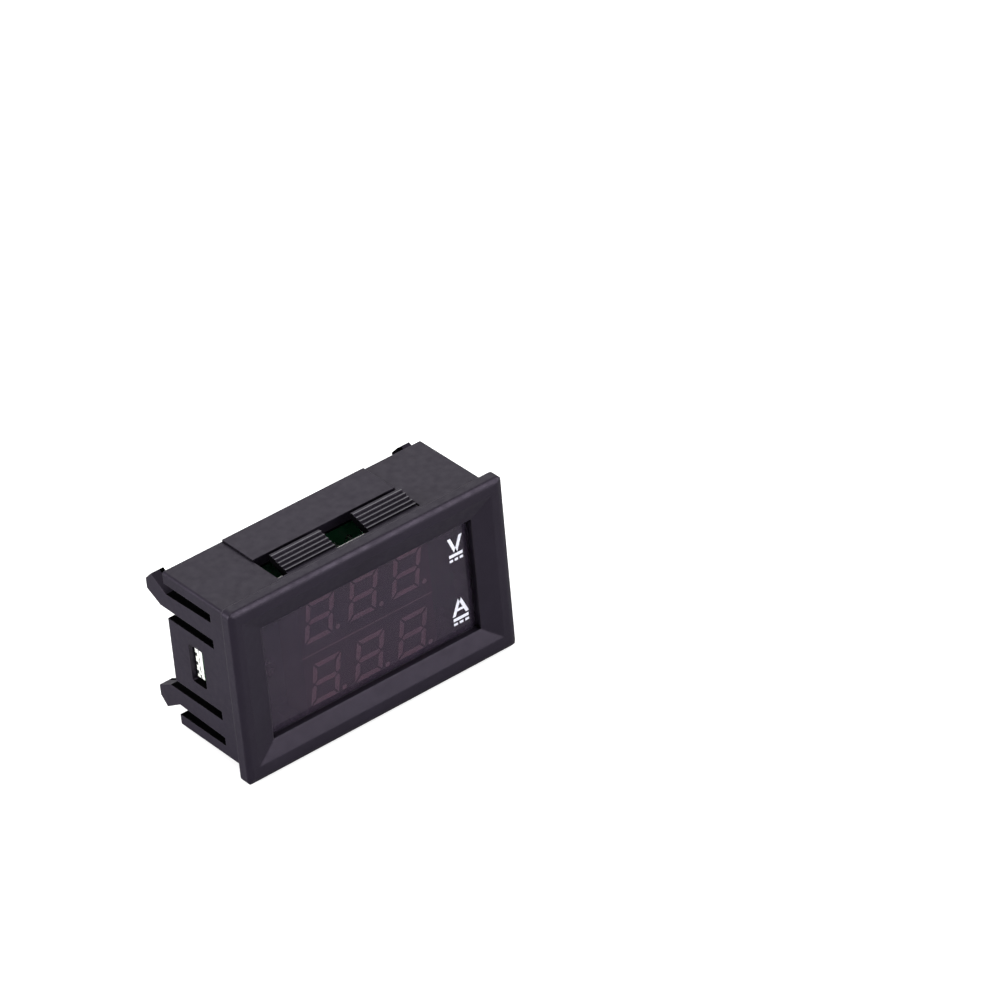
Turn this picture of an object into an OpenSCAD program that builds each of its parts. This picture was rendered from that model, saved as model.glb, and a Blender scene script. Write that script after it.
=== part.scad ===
// Snap-in digital panel meter: two stacked three-digit displays behind a tinted lens.
// +X is to the right seen from the front, +Y goes into the panel, +Z is up.
// The origin is the centre of the panel cut-out, on the rear plane of the bezel flange.

/* [Bezel] */
// Width of the bezel
bezel_w = 48; // [46:0.5:60]
// Height of the bezel
bezel_h = 29; // [28:0.5:40]
// Thickness of the bezel, in front of the panel
bezel_t = 1.9; // [1.6:0.1:3]
// Width of the crowned band along the front edge of the bezel
bezel_edge_w = 1.1; // [0.5:0.1:1.3]
// How far the crowned band falls back at the bezel's edge
bezel_edge_drop = 0.4; // [0.2:0.05:0.5]
// Radius of the four corners of the bezel
bezel_corner_r = 0.9; // [0.3:0.1:3]
// Width of the flat rim at the left and right of the front recess
rim_w = 2.1; // [1.4:0.1:2.6]
// Width of the flat rim above and below the front recess
rim_h = 2.4; // [1.4:0.1:3]
// Depth of the sloping faces between rim and window
bevel_depth = 0.75; // [0.4:0.05:1.2]
// Width of the window
window_w = 37; // [30:0.1:38]
// Height of the window
window_h = 18.7; // [14:0.1:20]

/* [Sleeve] */
// Width of the sleeve that passes through the panel
sleeve_w = 45.8; // [44:0.1:46]
// Height left inside the sleeve beyond that of the two display modules
stack_room = 2.4; // [1.9:0.1:4.3]
// Depth of the sleeve behind the flange
sleeve_d = 15; // [13:0.1:18]
// Wall thickness of the sleeve
wall_t = 1.5; // [1.2:0.1:1.8]
// Radius of the long edges of the sleeve
sleeve_edge_r = 0.4; // [0.2:0.1:1]
// Rise of the pads that centre the sleeve in the cut-out
pad_rise = 0.3; // [0.1:0.05:0.6]

/* [Ratchet tongues] */
// Width of the opening in the top and bottom walls
opening_w = 25; // [22:0.5:30]
// Distance from the flange to the opening
opening_y = 2.2; // [2:0.1:3]
// Length of the opening, front to rear
opening_l = 5.7; // [5.6:0.1:7]
// Width of each ratchet tongue
ratchet_w = 8.7; // [6:0.1:9]
// Space between the two tongues of a wall
ratchet_gap = 5.6; // [4.4:0.1:6]
// Sideways place of the middle between the two tongues
ratchet_x = 0.7; // [-0.8:0.1:0.8]
// Thickness of a tongue at its free end
ratchet_t = 1; // [0.7:0.05:1.2]
// Number of saw teeth on a tongue
tooth_count = 5; // [3:1:5]
// Distance from tooth to tooth
tooth_pitch = 0.75; // [0.6:0.05:0.75]
// Height of a saw tooth
tooth_h = 0.3; // [0.2:0.05:0.5]
// Angle at which a tongue stands up from its wall
ratchet_angle = 16; // [10:1:18]

/* [Snap fingers] */
// Distance from the flange to the slots beside the fingers
slot_y = 4.35; // [3:0.05:6]
// Width of the slot between a finger and the middle tongue
slot_w = 1.5; // [1:0.1:1.8]
// Height of the strip left at each corner, beyond the outer slots
corner_h = 1.9; // [1.6:0.05:2.2]
// Height of the tongue between the two fingers of a side
mid_tongue_h = 10.6; // [9:0.1:12]
// Height of a finger at its root
finger_h = 2.95; // [2.4:0.05:3.4]
// How much a finger narrows towards the sleeve's end
finger_taper = 0.35; // [0:0.05:0.8]
// How far a finger's foot reaches behind the sleeve
foot_reach = 4.4; // [3.6:0.1:6]
// How far a foot spreads past the finger's edge
foot_spread = 1.25; // [0.4:0.05:1.4]
// Thickness of a foot, across the sleeve
foot_t = 2.2; // [1.8:0.1:2.4]
// How far the catch of a finger reaches over the board
catch_h = 0.8; // [0.4:0.05:1]
// Length of the catch's ramp
catch_l = 2.8; // [1.5:0.1:3.2]

/* [Lens] */
// Thickness of the lens
lens_t = 1.5; // [1:0.1:2]
// Lap of the lens behind each edge of the window
lens_lap = 1.5; // [0.8:0.1:1.6]

/* [Display modules] */
// Width of a display module
module_w = 23; // [22:0.1:24]
// Height of a display module
module_h = 10.35; // [9.6:0.05:10.6]
// Depth of a display module
module_d = 4.9; // [4.4:0.1:6]
// Sideways place of the modules' centre
module_x = 0.6; // [-1:0.1:1]
// Height of the seam between the two modules
seam_z = -0.7; // [-0.8:0.05:0.6]
// Wall of a module's cap, at its face and its two ends
cap_wall = 0.8; // [0.5:0.1:1]
// Height of a digit
digit_h = 6.7; // [5.6:0.05:7.2]
// Width of a digit
digit_w = 4.95; // [3.6:0.05:5.2]
// Distance from digit to digit
digit_pitch = 7.7; // [7.2:0.05:7.7]
// Lean of the digits
digit_slant = 9.5; // [0:0.5:12]
// Width of a segment
segment_w = 0.85; // [0.5:0.05:1]
// Gap between neighbouring segments
segment_gap = 0.12; // [0.08:0.02:0.2]
// Radius of a decimal point
point_r = 0.42; // [0.3:0.02:0.46]
// Sideways place of the middle digit in its module
digits_x = -0.2; // [-0.6:0.1:0.1]
// Radius of a module's pins
module_pin_r = 0.25; // [0.2:0.01:0.3]
// Distance between the two rows of pins of a module
pin_row_gap = 8; // [7.4:0.1:8.4]

/* [Board] */
// Thickness of the board
board_t = 1.6; // [1.2:0.1:2]
// Space between the display modules and the board
board_gap = 2.35; // [1.8:0.05:2.8]
// Height of the board's side tabs
tab_h = 6; // [4:0.1:7]
// How far a tab reaches into its side window
tab_reach = 0.7; // [0.3:0.05:1]

/* [Connectors] */
// Pitch of the signal header's three pins
signal_pitch = 2; // [1.5:0.1:2.5]
// Height of the signal header above the board
signal_h = 6; // [5:0.1:7]
// Pitch of the power header's two pins
power_pitch = 3.96; // [3.5:0.02:4.2]
// Height of the power header's latch wall above the board
power_h = 8.4; // [7:0.1:9]

/* [Trimmers and shunt] */
// Radius of a trimmer's rotor
rotor_r = 1.6; // [1.3:0.05:1.7]
// Radius of the trimmer's pivot
pivot_r = 0.6; // [0.45:0.05:0.7]
// Radial running clearance of the pivot
pivot_clear = 0.05; // [0.02:0.01:0.08]
// Radius of the shunt's wire
shunt_r = 0.8; // [0.5:0.05:1]
// Distance between the shunt's two legs
shunt_span = 9; // [7:0.1:10]

/* [Hidden] */
$fn = 48;

// Small clearances between pieces that meet
lens_clear = 0.1;
seat_clear = 0.1;
board_clear = 0.2;
catch_clear = 0.05;
pin_clear = 0.02;
// Overlap that joins features of one moulding
bond = 0.3;

// Places along Y, front to rear
module_y = lens_t + seat_clear;
module_back = module_y + module_d;
board_y = module_back + board_gap;
board_back = board_y + board_t;

// Height of the sleeve, without its raised pads
sleeve_h = 2 * (module_h + wall_t) + stack_room;

// Inside of the sleeve
cavity_w = sleeve_w - 2 * wall_t;
cavity_h = sleeve_h - 2 * wall_t;
lens_w = window_w + 2 * lens_lap;
lens_h = window_h + 2 * lens_lap;
board_w = cavity_w - 2 * board_clear;
board_h = cavity_h - 4 * board_clear;

// Side windows that take the board's tabs
window_front_room = 1.5;
window_rear_room = 0.25;
side_window_clear = 0.15;

// Ribs that the board's front face stops against
stop_w = 1.4;
stop_lap = 1;
stop_x = cavity_w / 2 - 3.4;

// Snap fingers: inner and outer edges, as heights above the middle plane
finger_in = mid_tongue_h / 2 + slot_w;
finger_out = finger_in + finger_h;
finger_out_end = finger_out - finger_taper;
slot_out = sleeve_h / 2 - corner_h;
foot_end = sleeve_d + foot_reach;
foot_out = finger_out_end + foot_spread;
foot_chamfer = 1.4;

// Pins of a display module
pin_pitch = 2.54;
pins_per_row = 6;
pin_embed = 1.5;
pin_out = 0.9;
pin_room = 0.125;
cap_inner_h = pin_row_gap + 2 * (module_pin_r + pin_room);

// Solder joints
solder_r = 0.65;
solder_h = 0.6;

// Signal header: outer size, walls, pins and place; an inset is measured from the board's nearer edge
signal_w = 2 * signal_pitch + 3.9;
signal_depth = 4.5;
signal_wall = 0.5;
signal_floor = 1.4;
signal_pin = 0.5;
signal_x = 14.4;
signal_inset = 5.05;
signal_z = signal_inset - board_h / 2;

// Power header: base, latch wall, pins and place
power_w = 2 * power_pitch;
power_depth = 8;
power_base = 3.6;
power_wall = 1.5;
power_pin = 1.1;
power_x = -14.2;
power_inset = 5.75;
power_z = power_inset - board_h / 2;

// Trimmers: body, recess, rivet and places
trimmer_w = 4.4;
trimmer_h = 4.2;
trimmer_d = 1.5;
rotor_t = 0.7;
recess_d = 0.35;
recess_clear = 0.15;
rivet_r = 0.9;
rivet_t = 0.3;
rivet_room = 0.55;
axial_play = 0.05;
volts_x = 11.6;
amps_x = 17.2;
trimmer_inset = 5.75;
trimmer_z = board_h / 2 - trimmer_inset;

// Shunt: place and height of its bow
shunt_x = -13.6;
shunt_inset = 5.75;
shunt_z = board_h / 2 - shunt_inset;
shunt_bow = 3.4;

// Gull-wing leads
lead_t = 0.2;
lead_w = 0.3;

// Extrudes a (x, z) outline from y0 to y1
module along_y(y0, y1) {
    translate([0, y1, 0]) rotate([90, 0, 0]) linear_extrude(y1 - y0) children();
}

// Extrudes a (y, z) outline from x0 to x1
module along_x(x0, x1) {
    translate([x0, 0, 0]) rotate([90, 0, 90]) linear_extrude(x1 - x0) children();
}

// Extrudes a (x, y) outline from z0 to z1
module along_z(z0, z1) {
    translate([0, 0, z0]) linear_extrude(z1 - z0) children();
}

// Cylinder along Y from y0 to y1
module rod_y(x, z, r, y0, y1) {
    translate([x, y1, z]) rotate([90, 0, 0]) cylinder(r = r, h = y1 - y0);
}

// Cone along Y, radius r0 at y0 and r1 at y1
module cone_y(x, z, r0, r1, y0, y1) {
    translate([x, y0, z]) rotate([-90, 0, 0]) cylinder(r1 = r0, r2 = r1, h = y1 - y0);
}

// Box from one corner to the other
module box(low, high) {
    translate(low) cube(high - low);
}

// Rectangle with round corners, built from true arcs
module round_rect(w, h, r) {
    square([w - 2 * r, h], center = true);
    square([w, h - 2 * r], center = true);
    for (sx = [-1, 1], sy = [-1, 1])
        translate([sx * (w / 2 - r), sy * (h / 2 - r)]) circle(r);
}

// Section of the bezel across one direction: its two front edges are crowned by wide arcs
module bezel_section(w) {
    r = (bezel_edge_w * bezel_edge_w + bezel_edge_drop * bezel_edge_drop) / (2 * bezel_edge_drop);
    flat = w / 2 - bezel_edge_w;
    intersection() {
        translate([-w / 2, -bezel_t]) square([w, bezel_t]);
        union() {
            translate([-flat, -bezel_t]) square([2 * flat, bezel_t]);
            for (s = [-1, 1]) translate([s * flat, r - bezel_t]) circle(r, $fn = 96);
        }
    }
}

// Section of the front recess: the slope from the rim down to the window
module recess_section(outer, inner) {
    front = -bezel_t;
    foot = bevel_depth - bezel_t;
    polygon([
        [-outer / 2, front - 1], [outer / 2, front - 1], [outer / 2, front],
        [inner / 2, foot], [-inner / 2, foot], [-outer / 2, front]
    ]);
}

module bezel() {
    intersection() {
        along_y(-bezel_t, 0) round_rect(bezel_w, bezel_h, bezel_corner_r);
        along_z(-bezel_h / 2, bezel_h / 2) bezel_section(bezel_w);
        rotate([0, 90, 0]) along_z(-bezel_w / 2, bezel_w / 2) bezel_section(bezel_h);
    }
}

module front_recess() {
    reach = bezel_w;
    intersection() {
        along_z(-reach, reach) recess_section(bezel_w - 2 * rim_w, window_w);
        rotate([0, 90, 0]) along_z(-reach, reach)
            recess_section(bezel_h - 2 * rim_h, window_h);
    }
    along_y(-bezel_t, lens_t) square([window_w, window_h], center = true);
    along_y(0, lens_t + bond)
        square([lens_w + 2 * lens_clear, lens_h + 2 * lens_clear], center = true);
}

// Outline of a ratchet tongue, in (y, height above the wall's outer face)
function tooth_y(i) = opening_y + 0.4 + i * tooth_pitch;
function tooth_valley(y) = (y - tooth_y(0)) * tan(ratchet_angle);
ratchet_end = tooth_y(tooth_count);
ratchet_profile = concat(
    [[opening_y - bond, -wall_t], [opening_y - bond, -0.05], [tooth_y(0), tooth_valley(tooth_y(0))]],
    [for (i = [0:tooth_count - 1], point = [
        [tooth_y(i) + 0.1, tooth_valley(tooth_y(i)) + tooth_h],
        [tooth_y(i + 1), tooth_valley(tooth_y(i + 1))]
    ]) point],
    [[ratchet_end, tooth_valley(ratchet_end) - ratchet_t], [opening_y, -wall_t]]
);

// The two tongues of the top wall
module ratchet_tongues() {
    for (s = [-1, 1])
        translate([ratchet_x + s * (ratchet_gap + ratchet_w) / 2, 0, sleeve_h / 2])
            along_x(-ratchet_w / 2, ratchet_w / 2) polygon(ratchet_profile);
}

// Raised pad behind the opening
module pad() {
    box([-opening_w / 2, opening_y + opening_l, sleeve_h / 2 - bond],
        [opening_w / 2, sleeve_d, sleeve_h / 2 + pad_rise]);
}

// Height of a finger's outer edge at y, before the foot spreads
function finger_edge(y) = finger_out - finger_taper * (y - slot_y) / (sleeve_d - slot_y);

// The thick part of a foot starts on the ramp of the finger's catch
catch_y = board_back + catch_clear;
foot_root = catch_y + 0.7 * catch_l;
foot_bend = sleeve_d + 1.5;

// Outline of a snap finger and its foot in (y, z), from y = start to the foot's end
function finger_outline(start) = [
    [start, finger_in], [foot_bend, finger_in],
    [foot_end, finger_in + foot_reach / 3], [foot_end, foot_out - foot_chamfer / 2],
    [foot_end - foot_chamfer, foot_out + foot_chamfer / 2],
    [sleeve_d - 0.2, finger_out_end], [start, finger_edge(start)]
];

// One finger of the right-hand wall, in the upper half
module snap_finger() {
    inner = sleeve_w / 2 - wall_t;
    along_x(inner, sleeve_w / 2) polygon(finger_outline(slot_y - bond));
    along_x(sleeve_w / 2 - foot_t, sleeve_w / 2) polygon(finger_outline(foot_root));
    along_z(finger_in, finger_edge(catch_y + catch_l) - 0.1)
        polygon([
            [inner + bond, catch_y], [inner - catch_h, catch_y],
            [inner - catch_h, catch_y + 0.4], [inner, catch_y + catch_l],
            [inner + bond, catch_y + catch_l]
        ]);
}

// Slots that free one finger, cut through the right-hand wall
module finger_slots() {
    box([cavity_w / 2 - bond, slot_y, mid_tongue_h / 2],
        [sleeve_w / 2 + 1, sleeve_d + 1, slot_out]);
}

// Window in the tongue between two fingers, where the board's tab shows
module side_window() {
    y0 = board_y - window_front_room;
    y1 = board_back + window_rear_room;
    along_x(cavity_w / 2 - 1, sleeve_w / 2 + 1)
        translate([(y0 + y1) / 2, 0])
            round_rect(y1 - y0, tab_h + 2 * side_window_clear, 0.4);
}

// Rib that carries the board's front face, against the top wall
module board_stop() {
    box([-stop_w / 2, lens_t - bond, cavity_h / 2 - (cavity_h - board_h) / 2 - stop_lap],
        [stop_w / 2, board_y, cavity_h / 2 + bond]);
}

// Top and bottom halves, left and right sides
module both_z() {
    children();
    mirror([0, 0, 1]) children();
}
module both_x() {
    children();
    mirror([1, 0, 0]) children();
}

module sleeve() {
    difference() {
        union() {
            along_y(-bond, sleeve_d) round_rect(sleeve_w, sleeve_h, sleeve_edge_r);
            both_z() pad();
        }
        along_y(lens_t, sleeve_d + 1) square([cavity_w, cavity_h], center = true);
        both_z() box([-opening_w / 2, opening_y, cavity_h / 2 - bond],
            [opening_w / 2, opening_y + opening_l, sleeve_h / 2 + 1]);
        both_z() both_x() finger_slots();
        both_x() side_window();
    }
}

module housing() {
    color("#2d2c31")
        difference() {
            union() {
                bezel();
                sleeve();
                both_z() ratchet_tongues();
                both_z() both_x() snap_finger();
                both_z() both_x() translate([stop_x, 0, 0]) board_stop();
            }
            front_recess();
        }
}

module lens() {
    color([0.16, 0.1, 0.12, 0.6])
        along_y(0, lens_t) round_rect(lens_w, lens_h, 0.5);
}

// Heights of the two modules' centres
module_zs = [seam_z + module_h / 2, seam_z - module_h / 2];

// Point of a leaning digit, measured from the digit's centre
function lean(x, z) = [x + z * tan(digit_slant), z];

// The middle segment, pointed at both ends; shrink narrows a segment all round
module middle_segment(shrink) {
    half = (digit_w - segment_w) / 2 - segment_gap - shrink;
    w = segment_w / 2 - shrink;
    polygon([
        lean(-half, 0), lean(w - half, w), lean(half - w, w),
        lean(half, 0), lean(half - w, -w), lean(w - half, -w)
    ]);
}

// The top or bottom segment (s is 1 or -1), longest along the digit's outline
module end_segment(s, shrink) {
    edge = digit_h / 2 - shrink;
    inner = digit_h / 2 - segment_w + shrink;
    half = digit_w / 2 - segment_gap * 1.5 - shrink;
    polygon([
        lean(-half, s * edge), lean(half, s * edge),
        lean(half - segment_w, s * inner), lean(segment_w - half, s * inner)
    ]);
}

// An upright segment on side s, in the upper (t is 1) or lower (t is -1) half of the digit
module upright_segment(s, t, shrink) {
    edge = s * (digit_w / 2 - shrink);
    inner = s * (digit_w / 2 - segment_w + shrink);
    middle = s * (digit_w - segment_w) / 2;
    end = digit_h / 2 - segment_gap * 1.5 - shrink;
    start = segment_gap + shrink;
    polygon([
        lean(middle, t * start), lean(edge, t * (start + segment_w / 2)), lean(edge, t * end),
        lean(inner, t * (end - segment_w)), lean(inner, t * (start + segment_w / 2))
    ]);
}

// The seven segments and the point of one digit
module digit(shrink) {
    middle_segment(shrink);
    for (s = [-1, 1]) end_segment(s, shrink);
    for (s = [-1, 1], t = [-1, 1]) upright_segment(s, t, shrink);
    translate([digit_w / 2 + 0.45, (segment_w - digit_h) / 2]) circle(point_r - shrink);
}

module digits(shrink) {
    for (i = [-1:1]) translate([i * digit_pitch + digits_x, 0]) digit(shrink);
}

// Cap of a module: a tray, open at the rear, with a hole for each segment
module display_cap(z) {
    translate([module_x, module_y, z])
        difference() {
            along_y(0, module_d) square([module_w, module_h], center = true);
            along_y(cap_wall, module_d + 1)
                square([module_w - 2 * cap_wall, cap_inner_h], center = true);
            along_y(-1, cap_wall + 1) digits(0);
        }
}

// Places of a module's pins, as [x, z] from the module's centre
module_pins = [for (row = [-1, 1], i = [0:pins_per_row - 1])
    if (row == 1 || i < pins_per_row - 1)
        [(i - (pins_per_row - 1) / 2) * pin_pitch, row * pin_row_gap / 2]];

// Cast resin that fills a cap and shows as its segments
module display_resin(z) {
    inner_w = module_w - 2 * cap_wall - 2 * pin_clear;
    inner_h = cap_inner_h - 2 * pin_clear;
    translate([module_x, module_y, z])
        difference() {
            union() {
                along_y(cap_wall, module_d - 0.2) square([inner_w, inner_h], center = true);
                along_y(0.05, cap_wall + bond) digits(pin_clear);
            }
            for (p = module_pins)
                rod_y(p[0], p[1], module_pin_r + pin_clear, module_d - pin_embed, module_d + 1);
        }
}

module display_pins(z) {
    color("silver")
        for (p = module_pins)
            rod_y(module_x + p[0], z + p[1], module_pin_r,
                module_back - pin_embed + pin_clear, board_back + pin_out);
}

// Places of all pins that are soldered on the board's rear, as [x, z]
display_pin_spots = [for (z = module_zs, p = module_pins) [module_x + p[0], z + p[1]]];
signal_spots = [for (i = [-1:1]) [signal_x + i * signal_pitch, signal_z]];
power_spots = [for (s = [-1, 1]) [power_x + s * power_pitch / 2, power_z]];
shunt_spots = [for (s = [-1, 1]) [shunt_x + s * shunt_span / 2, shunt_z]];

// Hole radii in the board
signal_hole_r = signal_pin * 0.71 + 0.1;
power_hole_r = power_pin * 0.71 + 0.1;

module board() {
    color("#17492b")
        difference() {
            union() {
                along_y(board_y, board_back) square([board_w, board_h], center = true);
                along_y(board_y, board_back)
                    round_rect(cavity_w + 2 * tab_reach, tab_h, 0.5);
            }
            for (p = display_pin_spots)
                rod_y(p[0], p[1], module_pin_r + 0.1, board_y - 1, board_back + 1);
            for (p = signal_spots) rod_y(p[0], p[1], signal_hole_r, board_y - 1, board_back + 1);
            for (p = power_spots) rod_y(p[0], p[1], power_hole_r, board_y - 1, board_back + 1);
            for (p = shunt_spots) rod_y(p[0], p[1], shunt_r + 0.1, board_y - 1, board_back + 1);
        }
}

// Three-way header: a thin tray with two keying slots in its lower wall
module signal_header() {
    color("ivory")
        translate([signal_x, board_back, signal_z])
            difference() {
                along_y(0, signal_h) square([signal_w, signal_depth], center = true);
                along_y(signal_floor, signal_h + 1)
                    square([signal_w - 2 * signal_wall, signal_depth - 2 * signal_wall], center = true);
                for (s = [-1, 1])
                    box([s * signal_w / 4 - 0.5, signal_floor + 0.8, -signal_depth / 2 - 1],
                        [s * signal_w / 4 + 0.5, signal_h + 1, -signal_depth / 2 + signal_wall + 0.1]);
                for (s = [-1, 1])
                    box([s * signal_w / 2 - 0.6, signal_h - 2.4, -0.6],
                        [s * signal_w / 2 + 0.6, signal_h + 1, 0.6]);
                bore = signal_pin / 2 + pin_clear;
                for (i = [-1:1])
                    box([i * signal_pitch - bore, -1, -bore], [i * signal_pitch + bore, signal_h, bore]);
            }
}

module signal_pins() {
    color("gold")
        for (p = signal_spots)
            box([p[0] - signal_pin / 2, board_y - pin_out, p[1] - signal_pin / 2],
                [p[0] + signal_pin / 2, board_back + signal_h - 1.4, p[1] + signal_pin / 2]);
}

// Two-way power header: a solid base and one tall latch wall with a hooked edge
module power_header() {
    wall_z = power_depth / 2;
    color("ivory")
        translate([power_x, board_back, power_z])
            difference() {
                union() {
                    along_y(0, power_base) square([power_w, power_depth], center = true);
                    box([-power_w / 2, 0, wall_z - power_wall], [power_w / 2, power_h, wall_z]);
                    along_x(-power_w / 4, power_w / 4)
                        polygon([
                            [power_h - 2.6, wall_z - power_wall + 0.1],
                            [power_h - 1.8, wall_z - power_wall - 0.7],
                            [power_h - 0.3, wall_z - power_wall + 0.1]
                        ]);
                }
                for (s = [-1, 1])
                    translate([s * power_pitch / 2, 0, 0])
                        box([-power_pin / 2 - pin_clear, -1, -power_pin / 2 - pin_clear],
                            [power_pin / 2 + pin_clear, power_base + 1, power_pin / 2 + pin_clear]);
            }
}

module power_pins() {
    tip = 0.5;
    color("silver")
        for (p = power_spots)
            translate([p[0], 0, p[1]]) {
                box([-power_pin / 2, board_y - 1, -power_pin / 2],
                    [power_pin / 2, board_back + power_h - 1 - tip, power_pin / 2]);
                intersection() {
                    along_z(-power_pin / 2, power_pin / 2) pin_tip(tip);
                    rotate([0, 90, 0]) along_z(-power_pin / 2, power_pin / 2) pin_tip(tip);
                }
            }
}

// Section of a power pin's tapered tip
module pin_tip(tip) {
    end = board_back + power_h - 1;
    polygon([
        [-power_pin / 2, end - tip - 0.1], [power_pin / 2, end - tip - 0.1],
        [power_pin / 2, end - tip], [power_pin / 4, end], [-power_pin / 4, end], [-power_pin / 2, end - tip]
    ]);
}

// Body of a trimmer: round recess for the rotor, bored for its pivot
module trimmer_base(x) {
    top = board_back + trimmer_d;
    color("#e6e2d6")
        difference() {
            box([x - trimmer_w / 2, board_back, trimmer_z - trimmer_h / 2],
                [x + trimmer_w / 2, top, trimmer_z + trimmer_h / 2]);
            rod_y(x, trimmer_z, rotor_r + recess_clear, top - recess_d, top + 1);
            rod_y(x, trimmer_z, pivot_r + pivot_clear, board_back - 1, top + 1);
            rod_y(x, trimmer_z, rivet_r + recess_clear, board_back - 1, board_back + rivet_room);
        }
}

// Rotor of a trimmer: slotted disc, pivot and the rivet head that holds it
module trimmer_rotor(x) {
    disc_y = board_back + trimmer_d - recess_d + axial_play;
    head_y = board_back + rivet_room - axial_play;
    slot = 0.5;
    color("lightgray")
        difference() {
            union() {
                rod_y(x, trimmer_z, rotor_r, disc_y, disc_y + rotor_t);
                rod_y(x, trimmer_z, pivot_r, head_y - rivet_t, disc_y + bond);
                rod_y(x, trimmer_z, rivet_r, head_y - rivet_t, head_y);
            }
            box([x - rotor_r * 0.75, disc_y + rotor_t / 2, trimmer_z - slot / 2],
                [x + rotor_r * 0.75, disc_y + 1, trimmer_z + slot / 2]);
            box([x - slot / 2, disc_y + rotor_t / 2, trimmer_z - rotor_r * 0.75],
                [x + slot / 2, disc_y + 1, trimmer_z + rotor_r * 0.75]);
        }
}

// Soldering tabs of both trimmers: two below each, one above
module trimmer_terminals() {
    tab_w = 1;
    tab_out = 0.7;
    color("silver")
        for (x = [volts_x, amps_x], place = [[-1.2, -1], [1.2, -1], [0, 1]]) {
            z = trimmer_z + place[1] * (trimmer_h + tab_out) / 2;
            box([x + place[0] - tab_w / 2, board_back, z - tab_out / 2],
                [x + place[0] + tab_w / 2, board_back + lead_t, z + tab_out / 2]);
            wall = trimmer_z + place[1] * (trimmer_h / 2 + lead_t / 2);
            box([x + place[0] - tab_w / 2, board_back, wall - lead_t / 2],
                [x + place[0] + tab_w / 2, board_back + 1, wall + lead_t / 2]);
        }
}

// Measuring shunt: a thick wire staple with round shoulders
module shunt() {
    bend = 2 * shunt_r;
    top = board_back + shunt_bow;
    color("#b5734a")
        translate([shunt_x, 0, shunt_z]) {
            for (s = [-1, 1])
                rod_y(s * shunt_span / 2, 0, shunt_r, board_y - 1, top - bend);
            for (s = [-1, 1])
                translate([s * (shunt_span / 2 - bend), top - bend, 0])
                    rotate([0, 0, s > 0 ? 0 : 90])
                        rotate_extrude(angle = 90) translate([bend, 0]) circle(shunt_r);
            translate([-shunt_span / 2 + bend, top, 0]) rotate([0, 90, 0])
                cylinder(r = shunt_r, h = shunt_span - 2 * bend);
        }
}

// A moulded chip on the board: place, size and lift
module chip(x, z, w, h, d, lift) {
    box([x - w / 2, board_back + lift, z - h / 2], [x + w / 2, board_back + lift + d, z + h / 2]);
}

// Gull-wing leads above and below a chip of height h, in a row of n
module gull_leads(x, z, h, n, pitch, reach, lift, width) {
    for (side = [-1, 1], i = [0:n - 1])
        translate([x + (i - (n - 1) / 2) * pitch, board_back, z])
            mirror([0, 0, side < 0 ? 1 : 0])
                along_x(-width / 2, width / 2)
                    polygon([
                        [lift, h / 2], [lift + lead_t, h / 2], [lift + lead_t, h / 2 + reach / 2],
                        [lead_t, h / 2 + reach / 2 + 0.1], [lead_t, h / 2 + reach], [0, h / 2 + reach],
                        [0, h / 2 + reach / 2 - 0.1], [lift, h / 2 + reach / 2 - lead_t]
                    ]);
}

// Places and sizes of the chips
controller = [module_x, module_zs[0], 6.5, 4.4, 1, 0.1];
amplifier = [module_x - 3, module_zs[1], 4.9, 3.9, 1.45, 0.1];
regulator = [module_x + 4.2, module_zs[1], 4.5, 2.5, 1.5, 0];
diode = [signal_x, -0.3, 4.2, 2.6, 2, 0.1];

module controller_chip() {
    color("#1c1c1e")
        chip(controller[0], controller[1], controller[2], controller[3], controller[4], controller[5]);
}
module controller_leads() {
    color("silver")
        gull_leads(controller[0], controller[1], controller[3], 10, 0.65, 0.8, 0.5, 0.25);
}
module amplifier_chip() {
    color("#1c1c1e")
        chip(amplifier[0], amplifier[1], amplifier[2], amplifier[3], amplifier[4], amplifier[5]);
}
module amplifier_leads() {
    color("silver")
        gull_leads(amplifier[0], amplifier[1], amplifier[3], 4, 1.27, 1.05, 0.7, 0.42);
}
module regulator_chip() {
    color("#1c1c1e")
        chip(regulator[0], regulator[1], regulator[2], regulator[3], regulator[4], regulator[5]);
}
// Three flat leads below the regulator and its cooling tab above
module regulator_leads() {
    x = regulator[0];
    z = regulator[1];
    edge = regulator[3] / 2;
    color("silver") {
        for (i = [-1:1])
            box([x + i * 1.5 - 0.22, board_back, z - edge - 0.9],
                [x + i * 1.5 + 0.22, board_back + 0.4, z - edge]);
        box([x - 0.85, board_back, z + edge], [x + 0.85, board_back + 0.4, z + edge + 0.7]);
    }
}
module diode_body() {
    color("#1c1c1e") chip(diode[0], diode[1], diode[2], diode[3], diode[4], diode[5]);
}
// Folded end leads of the diode
module diode_leads() {
    color("silver")
        for (s = [-1, 1])
            translate([diode[0], board_back, diode[1]])
                mirror([s < 0 ? 1 : 0, 0, 0]) {
                    box([diode[2] / 2, 0, -0.75], [diode[2] / 2 + lead_t, 1.1, 0.75]);
                    box([diode[2] / 2 - 0.7, 0, -0.75], [diode[2] / 2 + lead_t, diode[5], 0.75]);
                }
}

// Chip capacitors: places as [x, z, upright]
capacitor_spots = [
    [-8.6, 8.2, 1], [-9, -8.6, 1], [-19.4, 0, 1], [8.9, 0.1, 1], [9.6, 1.45 - board_h / 2, 0],
    [18.9, -1, 1]
];
module chip_capacitors() {
    color("#b08d5b")
        for (p = capacitor_spots)
            translate([p[0], board_back, p[1]]) rotate([0, p[2] * 90, 0])
                box([-1, 0, -0.62], [1, 0.8, 0.62]);
}

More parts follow.
